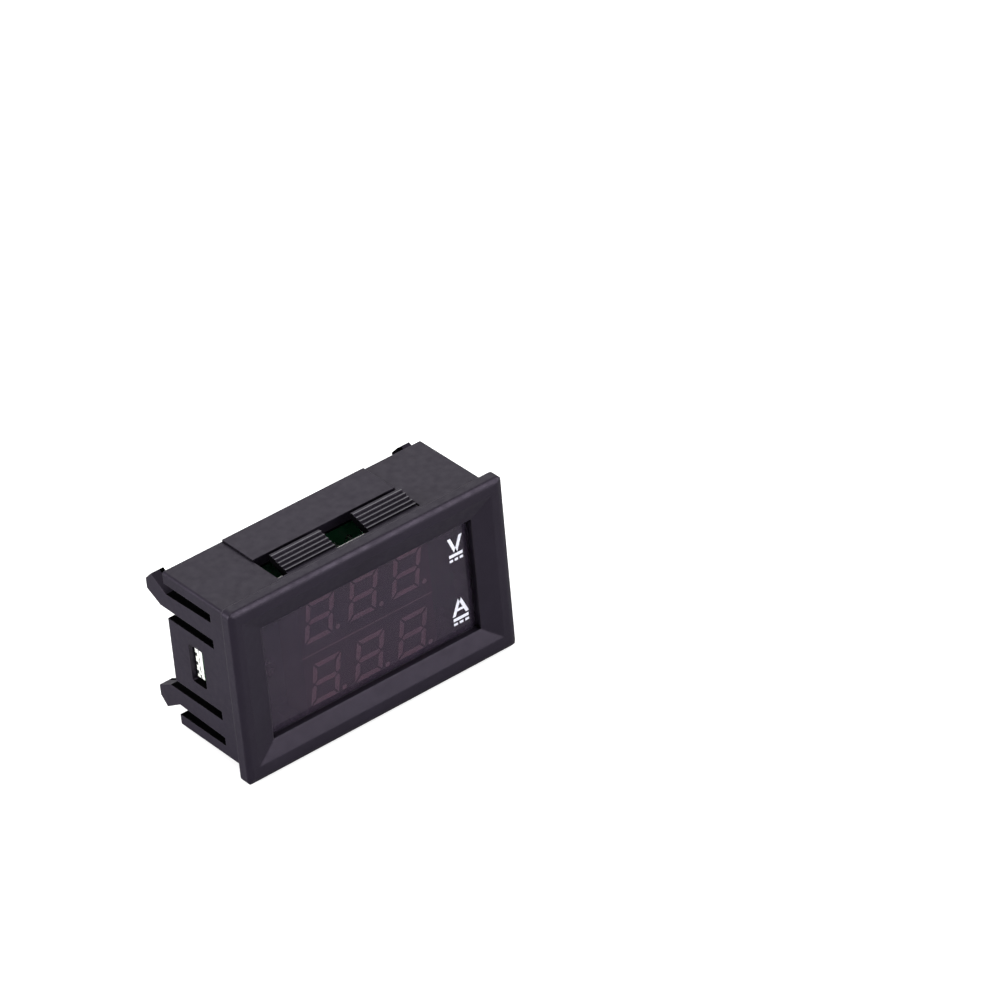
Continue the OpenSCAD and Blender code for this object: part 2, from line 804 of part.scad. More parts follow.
// Chip resistors: rows beside the chips, as [x, z, upright]
resistor_spots = [
    for (i = [0:3]) [-7.4 + i * 1.3, 5.6, 1],
    for (i = [0:2]) [5.6 + i * 1.3, 5.4, 1],
    for (i = [0:1], s = [-1, 1]) [module_x - 8.3 + i * 1.3, module_zs[1] + s * 1.2, 1],
    [-9, -5.4, 1], [8.6, -5.6, 1], [8.6, -3.2, 1], [13.1, trimmer_z + 4, 0], [16, trimmer_z + 4, 0]
];
module chip_resistors() {
    color("#222222")
        for (p = resistor_spots)
            translate([p[0], board_back, p[1]]) rotate([0, p[2] * 90, 0])
                box([-0.8, 0, -0.4], [0.8, 0.45, 0.4]);
}

// A solder cone round a pin; out is +1 on the rear face and -1 on the front face
module solder(p, r, bore, out) {
    face = out > 0 ? board_back : board_y;
    difference() {
        if (out > 0) cone_y(p[0], p[1], r, bore + 0.12, face, face + solder_h);
        else cone_y(p[0], p[1], bore + 0.12, r, face - solder_h, face);
        rod_y(p[0], p[1], bore, face - 1, face + 1);
    }
}

module solder_joints() {
    color("gainsboro") {
        for (p = display_pin_spots) solder(p, solder_r, module_pin_r + pin_clear, 1);
        for (p = signal_spots) solder(p, 0.85, signal_hole_r - 0.05, -1);
        for (p = power_spots) solder(p, 1.5, power_hole_r - 0.05, -1);
        for (p = shunt_spots) solder(p, 1.5, shunt_r + pin_clear, -1);
    }
}

housing();
lens();
color("#d9d9d4") display_cap(module_zs[0]);  // display_cap_upper
color("#d9d9d4") display_cap(module_zs[1]);  // display_cap_lower
color("#c9a9ad") display_resin(module_zs[0]);  // display_resin_upper
color("#c9a9ad") display_resin(module_zs[1]);  // display_resin_lower
display_pins(module_zs[0]);  // display_pins_upper
display_pins(module_zs[1]);  // display_pins_lower
board();
signal_header();
signal_pins();
power_header();
power_pins();
trimmer_base(volts_x);  // volts_trimmer_base
trimmer_rotor(volts_x);  // volts_trimmer_rotor
trimmer_base(amps_x);  // amps_trimmer_base
trimmer_rotor(amps_x);  // amps_trimmer_rotor
trimmer_terminals();
shunt();
controller_chip();
controller_leads();
amplifier_chip();
amplifier_leads();
regulator_chip();
regulator_leads();
diode_body();
diode_leads();
chip_capacitors();
chip_resistors();
solder_joints();
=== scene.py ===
# %% [markdown]
# # A snap-in panel meter
# The meter is a small black box that pushes into a cut-out in a panel. Its solids come
# ready made from a CAD frame, in metres, and this lesson gives them their finishes. It
# also adds what is too thin for CAD: printed marks, copper tracks, solder and metal ends.

# %% Load the frame
import math

import bmesh
import bpy
from mathutils import Matrix, Vector


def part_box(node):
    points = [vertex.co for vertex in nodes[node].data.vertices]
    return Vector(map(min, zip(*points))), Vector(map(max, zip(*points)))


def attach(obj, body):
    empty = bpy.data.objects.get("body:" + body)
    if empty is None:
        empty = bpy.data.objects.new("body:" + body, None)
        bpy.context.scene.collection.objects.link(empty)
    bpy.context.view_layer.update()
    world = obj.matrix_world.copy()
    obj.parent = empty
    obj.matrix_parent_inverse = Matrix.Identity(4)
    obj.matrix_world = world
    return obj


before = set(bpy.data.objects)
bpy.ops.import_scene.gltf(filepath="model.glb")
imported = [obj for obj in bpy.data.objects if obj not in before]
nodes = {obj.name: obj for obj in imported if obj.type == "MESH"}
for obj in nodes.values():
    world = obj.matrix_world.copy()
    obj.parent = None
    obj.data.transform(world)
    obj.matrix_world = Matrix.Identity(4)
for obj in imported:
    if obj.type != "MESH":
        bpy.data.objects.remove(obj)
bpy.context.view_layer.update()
MM = 0.001

# %% [markdown]
# ## Camera
# A long lens far away keeps the box's edges nearly parallel, as in a product picture.
# A Track To constraint could aim the camera, but it can't roll it. So the camera is
# placed by its heading, its pitch and a slight roll, and three axes built from these
# make its matrix. The roll is there because the meter leans back on its lower edge,
# while the camera is held level.

# %% Camera
CAMERA_PLACE = Vector((-0.40357, -0.58453, 0.49369))
HEADING = math.radians(36.229)
PITCH = math.radians(33.774)
ROLL = math.radians(-5.269)
LENS_LENGTH = 223.78
SENSOR_WIDTH = 36
SEES_AS_FAR_AS = 10
forward = Vector((math.sin(HEADING) * math.cos(PITCH),
                  math.cos(HEADING) * math.cos(PITCH), -math.sin(PITCH)))
level = Vector((math.cos(HEADING), -math.sin(HEADING), 0))
above = level.cross(forward)
right = math.cos(ROLL) * level + math.sin(ROLL) * above
up = math.cos(ROLL) * above - math.sin(ROLL) * level

camera_data = bpy.data.cameras.new("camera")
camera_data.lens = LENS_LENGTH
camera_data.sensor_width = SENSOR_WIDTH
camera_data.clip_end = SEES_AS_FAR_AS
camera = bpy.data.objects.new("camera", camera_data)
turn = Matrix((right, up, -forward)).transposed().to_4x4()
camera.matrix_world = Matrix.Translation(CAMERA_PLACE) @ turn
bpy.context.scene.collection.objects.link(camera)
bpy.context.scene.camera = camera
bpy.context.scene.view_settings.view_transform = "Standard"
print("camera distance in mm:", round(CAMERA_PLACE.length / MM))

# %% [markdown]
# ## Floor
# The meter rests on the crests of its lower ratchet tongues and on the rear edge of its
# lower pad, so the floor lies in the plane through those two. Its colour comes partly
# from light and partly from a glow that only the camera sees: it turns out white, and
# still keeps a soft shadow. Gloss and glass see it dimmer, as a shaded table is.

# %% Floor
CREST = Vector((0, 5.7 * MM, -14.21 * MM))
PAD_EDGE = Vector((0, 15 * MM, -13.35 * MM))
REST_TILT = math.atan2(PAD_EDGE.z - CREST.z, PAD_EDGE.y - CREST.y)
FLOOR_SIZE = 3.0
PAPER = 0.8
CAMERA_GLOW = 0.72
DIM_IN_GLASS = 0.85
DIM_IN_GLOSS = 0.45


def ray_kinds(tree, **weights):
    """The weight of the kind of ray that asks: 0 for every kind not named."""
    path = tree.nodes.new("ShaderNodeLightPath")
    total = None
    for kind, weight in weights.items():
        share = tree.nodes.new("ShaderNodeMath")
        share.operation = "MULTIPLY_ADD"
        tree.links.new(path.outputs[f"Is {kind.title()} Ray"], share.inputs[0])
        share.inputs[1].default_value = weight
        share.inputs[2].default_value = 0
        if total:
            tree.links.new(total, share.inputs[2])
        total = share.outputs[0]
    return total


def white_ground():
    """White paper that glows for the camera and is dim in glass and gloss."""
    material = bpy.data.materials.new("white_ground")
    material.use_nodes = True
    tree = material.node_tree
    tree.nodes.clear()
    paper = tree.nodes.new("ShaderNodeBsdfDiffuse")
    paper.inputs["Color"].default_value = (PAPER, PAPER, PAPER, 1)
    glow = tree.nodes.new("ShaderNodeEmission")
    glow.inputs["Color"].default_value = (1, 1, 1, 1)
    tree.links.new(ray_kinds(tree, camera=CAMERA_GLOW), glow.inputs["Strength"])
    both = tree.nodes.new("ShaderNodeAddShader")
    dim = tree.nodes.new("ShaderNodeMixShader")
    tree.links.new(ray_kinds(tree, transmission=DIM_IN_GLASS, glossy=DIM_IN_GLOSS), dim.inputs["Fac"])
    tree.links.new(paper.outputs[0], dim.inputs[1])
    tree.links.new(dim.outputs[0], both.inputs[0])
    tree.links.new(glow.outputs[0], both.inputs[1])
    out = tree.nodes.new("ShaderNodeOutputMaterial")
    tree.links.new(both.outputs[0], out.inputs["Surface"])
    return material


floor_mesh = bpy.data.meshes.new("floor")
half = FLOOR_SIZE / 2
floor_mesh.from_pydata([(-half, -half, 0), (half, -half, 0), (half, half, 0), (-half, half, 0)],
                       [], [(0, 1, 2, 3)])
floor = bpy.data.objects.new("floor", floor_mesh)
floor.matrix_world = Matrix.Translation(CREST) @ Matrix.Rotation(REST_TILT, 4, "X")
bpy.context.scene.collection.objects.link(floor)
floor_mesh.materials.append(white_ground())
print("floor tilt in degrees:", round(math.degrees(REST_TILT), 2))

# %% [markdown]
# ## Light
# Black plastic shows its light sources more than its colour, so they are few and soft.
# A pale tent all round, which the camera sees as white, gives an even sheen. One lamp
# stands low at the left, two look over the back edge so that the top shines, and one
# stands low in front on the right, where only the lower slope of the bezel mirrors it.
# The front rim mirrors plain floor instead, so it stays the darkest face. A weak lamp
# at the right keeps that side readable, and one above looks down into the openings.

# %% World and lamps
TENT = 0.4
LAMP_SIZE = 0.5
LAMP_FAR = 0.9
world = bpy.data.worlds.new("tent")
bpy.context.scene.world = world
world.use_nodes = True
sky = world.node_tree
sky.nodes.clear()
cloth = sky.nodes.new("ShaderNodeBackground")
cloth.inputs["Color"].default_value = (1, 1, 1, 1)
strength = sky.nodes.new("ShaderNodeMath")
strength.operation = "ADD"
strength.inputs[1].default_value = TENT
sky.links.new(ray_kinds(sky, camera=1 - TENT), strength.inputs[0])
sky.links.new(strength.outputs[0], cloth.inputs["Strength"])
sky_out = sky.nodes.new("ShaderNodeOutputWorld")
sky.links.new(cloth.outputs[0], sky_out.inputs["Surface"])


def soft_lamp(name, direction, power):
    """A square lamp, LAMP_SIZE wide, at LAMP_FAR from the meter, that looks at it."""
    lamp = bpy.data.lights.new(name, "AREA")
    lamp.shape = "SQUARE"
    lamp.size = LAMP_SIZE
    lamp.energy = power
    towards = Vector(direction).normalized()
    holder = bpy.data.objects.new(name, lamp)
    holder.location = towards * LAMP_FAR
    holder.rotation_euler = (-towards).to_track_quat("-Z", "Y").to_euler()
    bpy.context.scene.collection.objects.link(holder)
    return holder


lamps = [
    soft_lamp("lamp_left", (-1, 0.3, 0.08), 15),
    soft_lamp("lamp_behind", (0.49, 0.67, 0.556), 1),
    soft_lamp("lamp_back", (0, 1, 0.35), 1.3),
    soft_lamp("lamp_right", (1, 0.1, 0.35), 1),
    soft_lamp("lamp_top", (0, 0.05, 1), 2.2),
    soft_lamp("lamp_front", (0.49, -0.86, 0.12), 6.2),
]
print("lamps:", [lamp.name for lamp in lamps])

# %% [markdown]
# ## Material helpers
# Every finish starts from one Principled shader. Small helpers add noise in the
# object's own coordinates, which are metres here, so a grain size can be said in
# millimetres and stays true on every piece. The piece could be unwrapped and painted
# instead, but a shader that reads the place needs no layout. Masks, which are 1 in one
# part of a piece and 0 elsewhere, then say where a finish changes.


# %% Material helpers
def linear(colour):
    """An sRGB colour, 0 to 255, as the linear values that a shader takes."""
    values = []
    for part in colour:
        part = part / 255
        values.append(part / 12.92 if part <= 0.04045 else ((part + 0.055) / 1.055) ** 2.4)
    return (*values, 1.0)


class Finish:
    """One material and short ways to add nodes to it."""

    def __init__(self, name, colour, roughness, metallic=0.0):
        self.material = bpy.data.materials.new(name)
        self.material.use_nodes = True
        self.tree = self.material.node_tree
        self.shader = self.tree.nodes["Principled BSDF"]
        self.set("Base Color", linear(colour))
        self.set("Roughness", roughness)
        self.set("Metallic", metallic)
        self.place = self.node("ShaderNodeTexCoord").outputs["Object"]

    def node(self, kind, **values):
        made = self.tree.nodes.new(kind)
        for key, value in values.items():
            setattr(made, key, value)
        return made

    def set(self, socket, value):
        self.shader.inputs[socket].default_value = value

    def link(self, output, socket):
        self.tree.links.new(output, socket)

    def grain(self, size_mm, detail=2.0, distortion=0.0):
        """Cloudy noise, 0 to 1, whose lumps are about size_mm across."""
        noise = self.node("ShaderNodeTexNoise")
        noise.inputs["Scale"].default_value = 1 / (size_mm * MM)
        noise.inputs["Detail"].default_value = detail
        noise.inputs["Distortion"].default_value = distortion
        self.link(self.place, noise.inputs["Vector"])
        return noise.outputs["Fac"]

    def spread(self, value, low, high, start=0.3, end=0.7):
        """Maps a value from start..end to low..high, and holds it there beyond both."""
        change = self.node("ShaderNodeMapRange")
        self.link(value, change.inputs["Value"])
        for socket, number in (("From Min", start), ("From Max", end),
                               ("To Min", low), ("To Max", high)):
            change.inputs[socket].default_value = number
        return change.outputs["Result"]

    def mix(self, factor, first, second):
        """Colour between two; each is an sRGB colour or another node's output."""
        blend = self.node("ShaderNodeMix", data_type="RGBA")
        self.link(factor, blend.inputs["Factor"])
        for socket, colour in ((blend.inputs[6], first), (blend.inputs[7], second)):
            if isinstance(colour, tuple):
                socket.default_value = linear(colour)
            else:
                self.link(colour, socket)
        return blend.outputs[2]

    def math(self, operation, first, second=0.0, third=0.0):
        """One step of arithmetic; each value is a number or a node's output."""
        step = self.node("ShaderNodeMath", operation=operation)
        for socket, value in zip(step.inputs, (first, second, third)):
            if isinstance(value, (int, float)):
                socket.default_value = value
            else:
                self.link(value, socket)
        return step.outputs[0]

    def above(self, value, limit):
        """A mask: 1 where value is greater than limit."""
        return self.math("GREATER_THAN", value, limit)

    def below(self, value, limit):
        """A mask: 1 where value is less than limit."""
        return self.math("LESS_THAN", value, limit)

    def size(self, value):
        """The value without its sign, so that both sides are treated alike."""
        return self.math("ABSOLUTE", value)

    def all_of(self, first, *others):
        """1 where every mask is 1."""
        for other in others:
            first = self.math("MULTIPLY", first, other)
        return first

    def any_of(self, first, *others):
        """1 where at least one mask is 1; of other values, the greatest."""
        for other in others:
            first = self.math("MAXIMUM", first, other)
        return first

    def axes(self):
        """The place as three outputs: x, y and z in metres."""
        split = self.node("ShaderNodeSeparateXYZ")
        self.link(self.place, split.inputs[0])
        return split.outputs

    def facing(self):
        """The surface's direction as three outputs."""
        split = self.node("ShaderNodeSeparateXYZ")
        self.link(self.node("ShaderNodeNewGeometry").outputs["Normal"], split.inputs[0])
        return split.outputs

    def round_edges(self, radius):
        """A normal that turns softly over edges; radius: mm, or an output in metres."""
        bevel = self.node("ShaderNodeBevel", samples=6)
        if isinstance(radius, (int, float)):
            bevel.inputs["Radius"].default_value = radius * MM
        else:
            self.link(radius, bevel.inputs["Radius"])
        return bevel.outputs["Normal"]

    def turned(self, normal):
        """How far a softened normal agrees with the true one: 1 where it is flat."""
        agree = self.node("ShaderNodeVectorMath", operation="DOT_PRODUCT")
        self.link(normal, agree.inputs[0])
        self.link(self.node("ShaderNodeNewGeometry").outputs["Normal"], agree.inputs[1])
        return agree.outputs["Value"]

    def openness(self, reach_mm, low, high):
        """0 deep in a crease, 1 where little stands within reach_mm."""
        shade = self.node("ShaderNodeAmbientOcclusion", samples=8, only_local=True)
        shade.inputs["Distance"].default_value = reach_mm * MM
        return self.spread(shade.outputs["AO"], 0.0, 1.0, low, high)

    def bump(self, height, depth_mm, strength, under=None):
        """Small relief; under is a softened normal that it starts from."""
        bump = self.node("ShaderNodeBump")
        bump.inputs["Strength"].default_value = strength
        bump.inputs["Distance"].default_value = depth_mm * MM
        self.link(height, bump.inputs["Height"])
        if under is not None:
            self.link(under, bump.inputs["Normal"])
        self.link(bump.outputs["Normal"], self.shader.inputs["Normal"])

    def colour(self, output):
        self.link(output, self.shader.inputs["Base Color"])

    def rough(self, output):
        self.link(output, self.shader.inputs["Roughness"])

    def gloss(self, output):
        self.link(output, self.shader.inputs["Specular IOR Level"])


def dress(finish, *names):
    """Gives one finish to CAD nodes, and leaves their meshes as they are."""
    for name in names:
        slots = nodes[name].data.materials
        slots.clear()
        slots.append(finish.material)
    print(finish.material.name, "on", len(names), "nodes")


# %% [markdown]
# ## Housing plastic
# The housing is one moulding of black plastic with a fine satin skin. One plain colour
# would make it look like a drawing, so it gets slow noise for flow marks, faster noise
# that changes the gloss from place to place, and a very fine one for the eroded skin of
# the mould.
#
# First come the regions where the plastic gets painted light: a painted highlight on the
# teeth, and painted shade on the walls of the slots, the ends of the tongues, the inside,
# and the fine line where the sleeve meets the bezel. Each compares the place and the
# direction of the surface with limits.

# %% Housing regions
SLEEVE_START, SEAM_SHADOW_END = 0.05 * MM, 0.32 * MM
TOOTH_FOOT, TOOTH_END = 13.12 * MM, 6.6 * MM
WALL_FROM, WALL_TO = 21.3 * MM, 22.97 * MM
SLOT_REACH = 12.4 * MM
TONGUE_REACH = 15 * MM
ROOM_WIDE, ROOM_HIGH = 21.42 * MM, 11.9 * MM
SQUARE_ON = 0.9

plastic = Finish("black_plastic", (28, 25, 34), 0.42)
x, y, z = plastic.axes()
side, height = plastic.size(x), plastic.size(z)
sideways, _, upright = [plastic.size(way) for way in plastic.facing()]
behind_bezel = plastic.above(y, SLEEVE_START)
near_bezel = plastic.below(y, TOOTH_END)
on_tooth = plastic.all_of(plastic.above(height, TOOTH_FOOT), near_bezel, behind_bezel)
# Painted shade on the faces of the slots that look up or down.
slot_wall_shade = plastic.all_of(plastic.above(side, WALL_FROM), plastic.below(side, WALL_TO),
                           plastic.above(upright, SQUARE_ON), plastic.below(height, SLOT_REACH))
# Painted shade on the square ends of the tongues.
tongue_end_shade = plastic.all_of(plastic.above(sideways, SQUARE_ON), near_bezel, behind_bezel,
                            plastic.below(side, TONGUE_REACH))
# Painted shade on the inside of the sleeve.
inside_shade = plastic.all_of(plastic.below(side, ROOM_WIDE), plastic.below(height, ROOM_HIGH),
                        behind_bezel)
# A painted shadow line along the sleeve just behind the bezel.
seam_shadow = plastic.all_of(behind_bezel, plastic.below(y, SEAM_SHADOW_END))
painted_shade = plastic.any_of(slot_wall_shade, tongue_end_shade, inside_shade, seam_shadow)
print("dull regions: slot walls, tongue ends, inside, seam")

# %% [markdown]
# Moulded edges are never sharp. A bevel in the mesh would round them, but the solids
# stay as the CAD made them, so a Bevel node only turns the normal: more on the bezel
# than on the small parts behind it. Where it turns, the colour is a little paler, a
# painted highlight on the edges that also stands for wear. The crests of the saw teeth
# get a pale painted highlight. They are found by how far a point lies into one pitch of
# the teeth, on the sloping faces only.

# %% Housing edges and teeth
BEZEL_ROUNDING, SMALL_ROUNDING, TOOTH_ROUNDING = 0.38 * MM, 0.13 * MM, 0.08 * MM
FIRST_TOOTH, TOOTH_PITCH = 2.6 * MM, 0.75 * MM
CREST_START, CREST_END = 0.08 * MM, 0.4 * MM
EDGE_HIGHLIGHT_AND_WEAR = 0.6
SLOPING = 0.5

rounding = plastic.spread(behind_bezel, BEZEL_ROUNDING, SMALL_ROUNDING, 0, 1)
rounding = plastic.math("MULTIPLY_ADD", on_tooth, TOOTH_ROUNDING, rounding)
soft_normal = plastic.round_edges(rounding)
# Painted highlight: paler where the softened normal turns away from the true one, also standing for
# wear.
edge = plastic.spread(plastic.turned(soft_normal), EDGE_HIGHLIGHT_AND_WEAR, 0.0, 0.86, 1.0)
into_tooth = plastic.math("MODULO", plastic.math("SUBTRACT", y, FIRST_TOOTH), TOOTH_PITCH)
crest = plastic.spread(into_tooth, 1.0, 0.0, CREST_START, CREST_END)
# Painted highlight on the crests of the saw teeth.
crest_highlight = plastic.all_of(on_tooth, crest, plastic.above(upright, SLOPING))
print("tooth pitch in mm:", round(TOOTH_PITCH / MM, 2))

# %% [markdown]
# The sheen mask is 1 on open skin. It falls to 0 in the regions of painted shade and deep
# in creases, where it paints shade: it takes both colour and gloss away.

# %% Housing colour and gloss
CREASE_REACH_MM = 1.5
DEEP, OPEN = 0.42, 0.88
MATT_SPECULAR, SATIN_SPECULAR = 0.01, 0.3
MATT_ROUGHNESS = 0.9

plastic.set("Specular Tint", (0.9, 0.77, 1.0, 1.0))
# Painted shade: the mask falls in creases and in the painted shade regions.
unshaded_sheen = plastic.all_of(plastic.openness(CREASE_REACH_MM, DEEP, OPEN),
                       plastic.math("SUBTRACT", 1.0, painted_shade))
flow = plastic.spread(plastic.grain(9, 3, 0.6), 0, 1)
skin = plastic.mix(flow, (26, 22, 32), (30, 26, 37))
# The next two mixes paint the highlights on the edges and on the crests.
skin = plastic.mix(edge, skin, (60, 57, 64))
skin = plastic.mix(crest_highlight, skin, (134, 134, 137))
# Painted shade: the colour goes near black where the sheen mask falls.
plastic.colour(plastic.mix(unshaded_sheen, (5, 5, 6), skin))
plastic.gloss(plastic.spread(unshaded_sheen, MATT_SPECULAR, SATIN_SPECULAR, 0.0, 1.0))
patches = plastic.spread(plastic.grain(1.2, 4), 0.36, 0.5)
plastic.rough(plastic.any_of(patches, plastic.math("SUBTRACT", MATT_ROUGHNESS, unshaded_sheen)))
plastic.bump(plastic.grain(0.09, 2), 0.006, 0.5, soft_normal)
dress(plastic, "housing")

# %% [markdown]
# ## Smoky lens
# The window plate is clear plastic with a violet-grey dye. Over it lies a faint milky
# haze, a painted sheen that stands in for the light that the lens mirrors.
# Glass in a path tracer blocks lamp light, so rays on their way to a lamp pass
# through a plain tinted shader in its place. The dye darkens the digits twice, on
# the way in and on the way out.

# %% Lens
PAINTED_SHEEN_SHARE = 0.3
ACRYLIC_INDEX = 1.49
smoky = Finish("smoky_plastic", (168, 150, 158), 0.04)
smoky.set("Transmission Weight", 1.0)
smoky.set("IOR", ACRYLIC_INDEX)
smoky.bump(smoky.grain(3, 1), 0.004, 0.15)
# Painted sheen: a diffuse haze that stands in for reflected light on the lens.
painted_sheen_haze = smoky.node("ShaderNodeBsdfDiffuse")
clouds = smoky.spread(smoky.grain(14, 2), 0, 1)
smoky.link(smoky.mix(clouds, (75, 67, 87), (83, 72, 90)), painted_sheen_haze.inputs["Color"])
hazy = smoky.node("ShaderNodeMixShader")
hazy.inputs["Fac"].default_value = PAINTED_SHEEN_SHARE
smoky.link(smoky.shader.outputs[0], hazy.inputs[1])
smoky.link(painted_sheen_haze.outputs[0], hazy.inputs[2])
tinted = smoky.node("ShaderNodeBsdfTransparent")
tinted.inputs["Color"].default_value = linear((200, 186, 188))
lens_mix = smoky.node("ShaderNodeMixShader")
smoky.link(smoky.node("ShaderNodeLightPath").outputs["Is Shadow Ray"], lens_mix.inputs["Fac"])
smoky.link(hazy.outputs[0], lens_mix.inputs[1])
smoky.link(tinted.outputs[0], lens_mix.inputs[2])
smoky.link(lens_mix.outputs[0], smoky.tree.nodes["Material Output"].inputs["Surface"])
dress(smoky, "lens")

# %% [markdown]
# ## Display modules
# A module's cap is white plastic, painted dark on its front and its sides so that
# only the segments show. Above and below, the paint stops short of the back, and the
# bare rim shows between the ratchet tongues. The paint is also thin along the edge
# where the two modules meet, which leaves a pale line between them. Paint as a second
# mesh would be thinner than the solids allow, so masks mix two colours instead.

# %% Display caps
cap_low, cap_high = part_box("display_cap_upper")
PAINT_END = cap_high.y - 0.6 * MM
SEAM = cap_low.z
SEAM_ABOVE, SEAM_BELOW = 0.02 * MM, 0.2 * MM
FRONT_END = cap_low.y + 0.05 * MM
LEVEL = 0.7
cap = Finish("display_cap", (60, 58, 60), 0.5)
x, y, z = cap.axes()
upright = cap.size(cap.facing()[2])
painted = cap.any_of(cap.below(y, PAINT_END), cap.below(upright, LEVEL))
below_seam = cap.math("SUBTRACT", SEAM, z)
thin = cap.all_of(cap.above(below_seam, -SEAM_ABOVE), cap.below(below_seam, SEAM_BELOW),
                  cap.below(y, FRONT_END))
paint = cap.mix(cap.spread(cap.grain(6, 2), 0, 1), (56, 38, 46), (62, 43, 51))
paint = cap.mix(thin, paint, (186, 168, 172))
bare = cap.mix(cap.spread(cap.grain(4, 3), 0, 1), (232, 232, 228), (242, 242, 240))
cap.colour(cap.mix(painted, bare, paint))
cap.rough(cap.spread(cap.grain(3, 2), 0.5, 0.6))
cap.bump(cap.grain(0.5, 2), 0.003, 0.3)
dress(cap, "display_cap_upper", "display_cap_lower")

# %% [markdown]
# The segments are cast resin with a milky filler that spreads the light of the diodes.
# They are unlit here. A little subsurface lets light spread inside them, red light the
# furthest, so that they look filled rather than painted.

# %% Segment resin
MILKINESS = 0.25
RESIN_REACH = (0.6 * MM, 0.4 * MM, 0.4 * MM)
resin = Finish("segment_resin", (193, 176, 179), 0.5)
milk = resin.spread(resin.grain(0.4, 4), 0, 1)
resin.colour(resin.mix(milk, (216, 200, 210), (228, 212, 222)))
resin.set("Subsurface Weight", MILKINESS)
resin.set("Subsurface Radius", RESIN_REACH)
resin.rough(resin.spread(resin.grain(1.5, 2), 0.35, 0.6))
resin.bump(resin.grain(1.2, 2), 0.03, 0.4)
dress(resin, "display_resin_upper", "display_resin_lower")

# %% [markdown]
# ## Flat strokes
# Printed marks and tracks are thin films with a clear outline. A text object would
# bring in a font, and an image would blur when seen close, so they are built from
# strokes: a stroke is a flat quad with its ends cut level. The strokes of a piece are
# thickened together. Mesh tools leave their faces in no fixed order, so each piece is
# sorted before it is kept.


# %% Flat strokes
FLAT = 1e-6


def stroke(work, start, end, width, y):
    """A band from start to end, both (x, z) in mm, with level ends; y in metres."""
    (x0, z0), (x1, z1) = start, end
    length = math.hypot(x1 - x0, z1 - z0)
    if abs(z1 - z0) < FLAT:
        half_width = width / 2
        corners = [(x0, z0 - half_width), (x1, z1 - half_width),
                   (x1, z1 + half_width), (x0, z0 + half_width)]
    else:
        wide = width * length / abs(z1 - z0) / 2
        corners = [(x0 - wide, z0), (x0 + wide, z0), (x1 + wide, z1), (x1 - wide, z1)]
    work.faces.new([work.verts.new((x * MM, y, z * MM)) for x, z in corners])


def thicken(work, depth):
    """Gives every flat face a thickness along +Y."""
    made = bmesh.ops.extrude_face_region(work, geom=list(work.faces))
    moved = [item for item in made["geom"] if isinstance(item, bmesh.types.BMVert)]
    bmesh.ops.translate(work, vec=(0, depth, 0), verts=moved)
    bmesh.ops.recalc_face_normals(work, faces=work.faces)


def settle(items, key):
    """Sorts vertices or faces by place and direction, so that all runs agree."""
    rank = {item: number for number, item in enumerate(sorted(items, key=key))}
    items.sort(key=rank.get)


def finish_piece(name, work, finish):
    """Turns the drawn faces into a piece that rides on the meter, with the finish given."""
    work.normal_update()
    settle(work.verts, lambda vertex: (*vertex.co, *vertex.normal))
    settle(work.faces, lambda face: (*face.calc_center_median(), *face.normal))
    mesh = bpy.data.meshes.new(name)
    work.to_mesh(mesh)
    work.free()
    mesh.materials.append(finish.material)
    piece = bpy.data.objects.new(name, mesh)
    bpy.context.scene.collection.objects.link(piece)
    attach(piece, "meter")
    print(name, "faces:", len(mesh.polygons))


# %% [markdown]
# ## Unit marks
# The letters V and A are printed in white on the lens, each over a long bar and three
# dashes, the common sign for direct current.

# %% Unit marks
INK = 0.01 * MM
LETTER_STROKE, CROSSBAR, BAR, DASH = 0.52, 0.42, 0.5, 0.4
CROSSBAR_RISE, CROSSBAR_INSET, BAR_INSET = 0.9, 0.65, 0.1
LENS_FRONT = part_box("lens")[0].y
white_ink = Finish("white_ink", (244, 244, 246), 0.5)
fading = white_ink.spread(white_ink.grain(0.3, 3), 0, 1)
white_ink.colour(white_ink.mix(fading, (232, 233, 248), (246, 247, 255)))
white_ink.bump(white_ink.grain(0.08, 2), 0.003, 0.5)


def direct_current_sign(work, x0, x1, bar_z, dash_z, y):
    """A bar from x0 to x1, and three dashes with gaps half as long under it."""
    stroke(work, (x0, bar_z), (x1, bar_z), BAR, y)
    dash = (x1 - x0) / 4
    for i in range(3):
        start = x0 + i * 1.5 * dash
        stroke(work, (start, dash_z), (start + dash, dash_z), DASH, y)


def unit_mark(name, letter, x0, x1, low, high, bar_z, dash_z):
    """A letter V or A from (x0, low) to (x1, high) in mm, with its sign below."""
    work = bmesh.new()
    middle = (x0 + x1) / 2
    y = LENS_FRONT - INK
    for x in (x0 + LETTER_STROKE / 2, x1 - LETTER_STROKE / 2):
        if letter == "V":
            stroke(work, (middle, low), (x, high), LETTER_STROKE, y)
        else:
            stroke(work, (x, low), (middle, high), LETTER_STROKE, y)
    if letter == "A":
        stroke(work, (x0 + CROSSBAR_INSET, low + CROSSBAR_RISE),
               (x1 - CROSSBAR_INSET, low + CROSSBAR_RISE), CROSSBAR, y - 0.2 * INK)
    direct_current_sign(work, x0 + BAR_INSET, x1 - BAR_INSET, bar_z, dash_z, y)
    thicken(work, 0.8 * INK)
    finish_piece(name, work, white_ink)


unit_mark("mark_volts", "V", 14.9, 17.5, 4.4, 7.0, 4.0, 3.22)
unit_mark("mark_amps", "A", 14.6, 17.5, -6.12, -3.36, -6.68, -7.42)

# %% [markdown]
# ## Circuit board
# Glass-fibre board is green on its faces and raw on its edges. The faces show copper
# areas as a slightly lighter green. On the two side tabs the board was broken off a
# bigger sheet along a row of small holes, which leaves dark dashes in the pale edge. A
# sine along the edge sets their beat, and slow noise lets the row wander.

